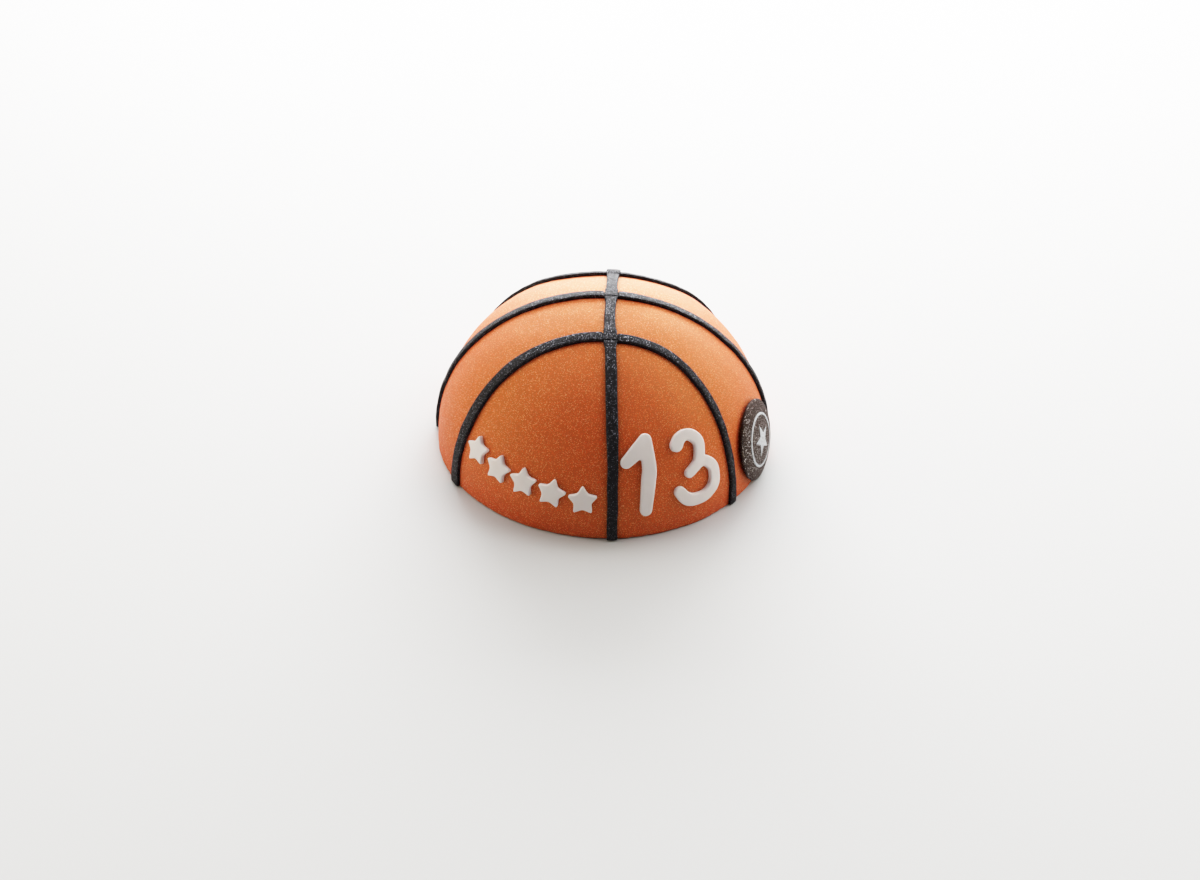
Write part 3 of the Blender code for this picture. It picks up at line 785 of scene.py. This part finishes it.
def add_medallion(disc_material, print_material):
    change = Waves(MEDALLION_SEED, MEDALLION_CHANGE_LENGTH, MEDALLION_CHANGE)
    disc = medallion_mesh()
    drape(disc, *MEDALLION_CENTRE, change)
    add_piece("medallion_disc", disc, disc_material, "chocolate_disc", "medallion")
    star = star_outline(PRINT_STAR_RADIUS, PRINT_STAR_WAIST, PRINT_STAR_SOFTNESS)
    ring = [ring_outline(PRINT_RING[1]), ring_outline(PRINT_RING[0])]
    for name, outlines in (("medallion_print_star", [star]), ("medallion_print_ring", ring)):
        mesh = slab_mesh(outlines, -PRINT_RAISE, PRINT_RAISE)
        cut_into_squares(mesh, PRINT_CELL)
        for vertex in mesh.vertices:
            vertex.co.z += medallion_face(vertex.co.xy.length)
        drape(mesh, *MEDALLION_CENTRE, change)
        add_piece(name, mesh, print_material, "sugar_paste_white")


# Materials

class Surface:
    """A material with the usual many-sided shader, and short ways to add nodes to it."""

    def __init__(self, name, values):
        self.material = bpy.data.materials.new(name)
        self.material.use_nodes = True
        self.tree = self.material.node_tree
        self.shader = self.tree.nodes["Principled BSDF"]
        for key, value in values.items():
            self.shader.inputs[key].default_value = value
        self.material.diffuse_color = values["Base Color"]
        self.place = self.add("ShaderNodeTexCoord").outputs["Object"]

    def link(self, name, output):
        self.tree.links.new(output, self.shader.inputs[name])

    def add(self, kind, inputs=None, **settings):
        """Add a node; its inputs are values or outputs of other nodes, by name or number."""
        node = self.tree.nodes.new(kind)
        for key, value in settings.items():
            setattr(node, key, value)
        for key, value in (inputs or {}).items():
            if isinstance(value, bpy.types.NodeSocket):
                self.tree.links.new(value, node.inputs[key])
            else:
                node.inputs[key].default_value = value
        return node

    def math(self, operation, *values):
        return self.add("ShaderNodeMath", dict(enumerate(values)), operation=operation).outputs[0]

    def vector(self, operation, *values):
        return self.add("ShaderNodeVectorMath", dict(enumerate(values)), operation=operation).outputs[0]

    def scaled(self, vector, factor):
        inputs = {"Vector": vector, "Scale": factor}
        return self.add("ShaderNodeVectorMath", inputs, operation="SCALE").outputs[0]

    def noise(self, length, detail=2.0):
        """Fractal noise, mostly from 0.3 to 0.7, whose humps are about a length apart."""
        inputs = {"Vector": self.place, "Scale": 1 / length, "Detail": detail}
        return self.add("ShaderNodeTexNoise", inputs).outputs["Fac"]

    def ranged(self, value, start=0.0, end=1.0, low=0.3, high=0.7):
        """A value, by default noise, spread to run from a start at the low to an end at the high."""
        inputs = {"Value": value, "From Min": low, "From Max": high, "To Min": start, "To Max": end}
        return self.add("ShaderNodeMapRange", inputs).outputs["Result"]

    def mix(self, share, first, second):
        return self.add("ShaderNodeMix", {0: share, 6: first, 7: second}, data_type="RGBA").outputs[2]

    def bump(self, height, depth):
        """Relief of a given depth from a height that runs from 0 to 1."""
        inputs = {"Height": height, "Distance": depth, "Strength": 1.0}
        return self.add("ShaderNodeBump", inputs).outputs["Normal"]

    def occluded_share(self, reach, strength):
        """How much nearby pieces shut the light out: from 0 in the open towards 1 where pieces stand close
        by. It masks painted shade and painted bounce light.
        """
        open_share = self.add("ShaderNodeAmbientOcclusion", {"Distance": reach},
                              samples=CREVICE_SAMPLES).outputs["AO"]
        shut = self.math("SUBTRACT", 1.0, open_share)
        return self.add("ShaderNodeMath", {0: shut, 1: strength}, operation="MULTIPLY",
                        use_clamp=True).outputs[0]

    def channel(self, colour, index):
        return self.add("ShaderNodeSeparateColor", {0: colour}).outputs[index]

    def flakes(self, size, share, reach):
        """Flat flakes in the paste: where they are, and a random colour for each."""
        cells = self.add("ShaderNodeTexVoronoi", {"Vector": self.place, "Scale": 1 / size})
        colour = cells.outputs["Color"]
        picked = self.math("LESS_THAN", self.channel(colour, 0), share)
        near = self.math("LESS_THAN", cells.outputs["Distance"], reach)
        return self.math("MULTIPLY", picked, near), colour

    def smoother(self, there, change):
        """Lower the roughness where the flakes are."""
        rough = self.shader.inputs["Roughness"].default_value
        self.link("Roughness", self.math("MULTIPLY_ADD", there, -change, rough))

    def tilted(self, there, colour, tilt, normal):
        """Normals that lean each flake its own way."""
        lean = self.vector("MULTIPLY_ADD", colour, (2 * tilt,) * 3, (-tilt,) * 3)
        return self.vector("NORMALIZE", self.vector("MULTIPLY_ADD", lean, there, normal))


def orange_paste():
    """Smooth sugar paste with a gold lustre and fine glints, partly painted, and painted shade towards the
    base and by the pieces.
    """
    surface = Surface("orange_sugar_paste", {
        "Base Color": (0.61, 0.050, 0.012, 1.0),
        "Roughness": 0.65,
        "IOR": 1.7,
        "Specular IOR Level": 1.0,
        "Specular Tint": (1.0, 0.62, 0.17, 1.0),
        "Subsurface Weight": 0.5,
        "Subsurface Radius": (1.0, 0.25, 0.1),
        "Subsurface Scale": 3.5 * MM,
    })
    clouds = surface.ranged(surface.noise(length=26 * MM), start=0.97, end=1.03)
    # Painted shade: towards the base the paste is darker and redder.
    height = surface.add("ShaderNodeSeparateXYZ", {"Vector": surface.place}).outputs["Z"]
    above_painted_shade = surface.ranged(height, low=0.0, high=PAINTED_SHADE_TOP)
    paste = surface.mix(above_painted_shade, (0.565, 0.0235, 0.0060, 1.0), (0.61, 0.0505, 0.0125, 1.0))
    paste = surface.scaled(paste, clouds)
    # Painted shade: dark red where pieces stand close by and block the light.
    paste = surface.mix(surface.occluded_share(reach=3.5 * MM, strength=1.3), paste, (0.30, 0.010, 0.003, 1.0))
    # Paler flakes in the base colour: partly the real lustre specks, partly painted glints.
    glints, colour = surface.flakes(size=0.42 * MM, share=0.25, reach=0.34)
    bright = surface.math("POWER", surface.math("SUBTRACT", 1.0, surface.channel(colour, 0)), 2.0)
    grainy = surface.scaled(paste, surface.math("MULTIPLY_ADD", bright, 0.6, 0.8))
    surface.link("Base Color", surface.mix(glints, grainy, (1.0, 0.42, 0.22, 1.0)))
    surface.smoother(glints, 0.25)
    peel = surface.bump(surface.noise(length=1.1 * MM), depth=0.02 * MM)
    surface.link("Normal", surface.tilted(glints, colour, tilt=0.2, normal=peel))
    return surface.material


def black_paste():
    """Black sugar paste with dense, fine, bluish-grey glitter."""
    black = (0.010, 0.009, 0.011, 1.0)
    surface = Surface("black_sugar_paste", {
        "Base Color": black,
        "Roughness": 0.7,
        "Specular IOR Level": 0.15,
    })
    glints, colour = surface.flakes(size=0.5 * MM, share=0.75, reach=0.42)
    bright = surface.math("POWER", surface.channel(colour, 1), 3.5)
    flake = surface.mix(bright, (0.011, 0.010, 0.012, 1.0), (0.19, 0.19, 0.22, 1.0))
    surface.link("Base Color", surface.mix(glints, black, flake))
    surface.link("Metallic", glints)
    surface.smoother(glints, 0.2)
    grain = surface.bump(surface.noise(length=0.7 * MM, detail=3.0), depth=0.04 * MM)
    surface.link("Normal", surface.tilted(glints, colour, tilt=0.45, normal=grain))
    return surface.material


def white_paste():
    surface = Surface("white_sugar_paste", {
        "Base Color": (0.87, 0.78, 0.755, 1.0),
        "Roughness": 0.55,
        "Specular IOR Level": 0.3,
        "Subsurface Weight": 0.15,
        "Subsurface Radius": (1.0, 0.7, 0.5),
        "Subsurface Scale": 2.0 * MM,
    })
    clouds = surface.ranged(surface.noise(length=6 * MM))
    paste = surface.mix(clouds, (0.87, 0.79, 0.765, 1.0), (0.91, 0.83, 0.805, 1.0))
    # Painted light: warm light bounced from the orange skin, with a little painted shade, where pieces
    # stand close by.
    occluded_share = surface.occluded_share(reach=2.0 * MM, strength=1.0)
    surface.link("Base Color", surface.mix(occluded_share, paste, (0.88, 0.52, 0.42, 1.0)))
    surface.link("Normal", surface.bump(surface.noise(length=0.9 * MM), depth=0.03 * MM))
    return surface.material


def chocolate():
    """Dark chocolate dusted with silver lustre, its flakes brighter towards the middle, with a few larger
    specks and painted shade in its crevices.
    """
    brown = (0.030, 0.017, 0.013, 1.0)
    surface = Surface("dusted_chocolate", {
        "Base Color": brown,
        "Roughness": 0.6,
        "Specular IOR Level": 0.15,
        "Specular Tint": (0.45, 0.34, 0.32, 1.0),
    })
    middle = dome.on_skin(direction(*BRIGHT_FLAKE_CENTRE)[None])[0]
    away = surface.add("ShaderNodeVectorMath", {0: surface.place, 1: middle}, operation="DISTANCE")
    brighter_share = surface.ranged(away.outputs["Value"], low=BRIGHT_FLAKE_EDGE, high=BRIGHT_FLAKE_FULL)
    glints, colour = surface.flakes(size=0.6 * MM, share=0.8, reach=0.42)
    specks, _ = surface.flakes(size=1.6 * MM, share=0.03, reach=0.2)
    brightest = surface.mix(brighter_share, (0.22, 0.17, 0.16, 1.0), (0.95, 0.92, 0.89, 1.0))
    dimmest = surface.mix(brighter_share, (0.011, 0.007, 0.006, 1.0), (0.14, 0.130, 0.125, 1.0))
    bright = surface.math("POWER", surface.channel(colour, 1), 3.0)
    paste = surface.mix(glints, brown, surface.mix(bright, dimmest, brightest))
    paste = surface.mix(specks, paste, (0.95, 0.93, 0.90, 1.0))
    # Painted shade: near black where the skin or pieces stand close by.
    occluded_share = surface.occluded_share(reach=4.0 * MM, strength=1.5)
    surface.link("Base Color", surface.mix(occluded_share, paste, (0.015, 0.005, 0.003, 1.0)))
    surface.link("Metallic", surface.math("MAXIMUM", glints, specks))
    surface.smoother(glints, 0.25)
    grain = surface.bump(surface.noise(length=0.6 * MM, detail=3.0), depth=0.05 * MM)
    surface.link("Normal", surface.tilted(glints, colour, tilt=0.45, normal=grain))
    return surface.material


def silver_print():
    surface = Surface("silver_print", {
        "Base Color": (0.45, 0.47, 0.50, 1.0),
        "Roughness": 0.45,
        "Metallic": 0.3,
    })
    patches = surface.ranged(surface.noise(length=1.5 * MM, detail=4.0))
    surface.link("Base Color", surface.mix(patches, (0.36, 0.37, 0.39, 1.0), (0.55, 0.58, 0.62, 1.0)))
    surface.link("Normal", surface.bump(surface.noise(length=0.4 * MM), depth=0.03 * MM))
    return surface.material


def pale_floor():
    surface = Surface("pale_floor", {"Base Color": (0.60, 0.60, 0.60, 1.0), "Roughness": 0.7})
    return surface.material


# The studio

def add_floor():
    mesh = bpy.data.meshes.new("floor")
    work = bmesh.new()
    bmesh.ops.create_grid(work, x_segments=1, y_segments=1, size=FLOOR_SIZE / 2)
    work.to_mesh(mesh)
    work.free()
    mesh.materials.append(pale_floor())
    floor = bpy.data.objects.new("floor", mesh)
    bpy.context.scene.collection.objects.link(floor)


def add_softbox(name, place, size, power, colour):
    """A rectangular lamp that faces the cake."""
    lamp = bpy.data.lights.new(name, "AREA")
    lamp.shape = "RECTANGLE"
    lamp.size, lamp.size_y = size
    lamp.energy = power
    lamp.color = colour
    box = bpy.data.objects.new(name, lamp)
    box.location = place
    box.rotation_mode = "QUATERNION"
    box.rotation_quaternion = (Vector(AIM) - Vector(place)).to_track_quat("-Z", "Y")
    box.visible_camera = False
    bpy.context.scene.collection.objects.link(box)


def add_lights():
    for softbox in SOFTBOXES:
        add_softbox(*softbox)
    world = bpy.data.worlds.new("studio")
    world.use_nodes = True
    background = world.node_tree.nodes["Background"]
    background.inputs["Color"].default_value = (1.0, 1.0, 1.0, 1.0)
    background.inputs["Strength"].default_value = BACKDROP_LIGHT
    world.cycles_visibility.diffuse = False
    world.cycles_visibility.glossy = False
    world.cycles_visibility.transmission = False
    bpy.context.scene.world = world


def film(light):
    """What the film shows: bright paste turns pale and never clips, and deep shade stays rich."""
    shown = 1 - math.exp(-light)
    return shown * (1 - FILM_TOE * math.exp(-shown / FILM_TOE_END))


def set_film():
    """Give the view the film's curve."""
    view = bpy.context.scene.view_settings
    view.view_transform = "Standard"
    view.use_curve_mapping = True
    view.curve_mapping.white_level = (FILM_WHITE,) * 3
    curve = view.curve_mapping.curves[3]  # the one for all three colours
    curve.points[-1].location = (1.0, film(FILM_WHITE))
    for k in range(1, FILM_POINTS):
        share = (k / FILM_POINTS)**2
        curve.points.new(share, film(FILM_WHITE * share))
    view.curve_mapping.update()


def add_camera():
    rise = math.radians(CAMERA_ELEVATION)
    forward = Vector((0.0, math.cos(rise), -math.sin(rise)))
    right = Vector((1.0, 0.0, 0.0))
    up = right.cross(forward)
    aim = Matrix.Rotation(math.radians(CAMERA_PAN), 3, up) @ Matrix.Rotation(
        math.radians(CAMERA_TILT), 3, right)
    forward = aim @ forward
    turn = Matrix.Rotation(math.radians(CAMERA_ROLL), 3, forward) @ aim
    right, up = turn @ right, turn @ up
    lens = bpy.data.cameras.new("camera")
    lens.sensor_width = CAMERA_SENSOR
    lens.lens = CAMERA_LENS
    lens.clip_start = CAMERA_NEAR
    camera = bpy.data.objects.new("camera", lens)
    camera.matrix_world = Matrix.Translation(
        Vector((0.0, -math.cos(rise), math.sin(rise))) * CAMERA_DISTANCE) @ Matrix(
        (right, up, -forward)).transposed().to_4x4()
    bpy.context.scene.collection.objects.link(camera)
    bpy.context.scene.camera = camera


def dress_cake():
    white = white_paste()
    add_piece("cake_skin", skin_mesh(), orange_paste(), "sugar_paste_orange", "cake_dome")
    add_stripes(black_paste())
    add_numeral("iced_one", ONE_STROKES, ONE_CENTRE, ONE_SEED, white, "digit_one")
    add_numeral("iced_three", THREE_STROKES, THREE_CENTRE, THREE_SEED, white, "digit_three")
    add_stars(white)
    add_medallion(chocolate(), silver_print())


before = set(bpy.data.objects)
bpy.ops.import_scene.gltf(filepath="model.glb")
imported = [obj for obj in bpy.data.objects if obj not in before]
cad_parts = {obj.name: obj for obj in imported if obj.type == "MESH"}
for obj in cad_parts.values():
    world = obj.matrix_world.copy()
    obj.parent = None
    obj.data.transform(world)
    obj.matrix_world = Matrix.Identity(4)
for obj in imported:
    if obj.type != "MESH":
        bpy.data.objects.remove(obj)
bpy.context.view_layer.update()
dome = Dome()
add_camera()
dress_cake()
add_floor()
add_lights()
set_film()
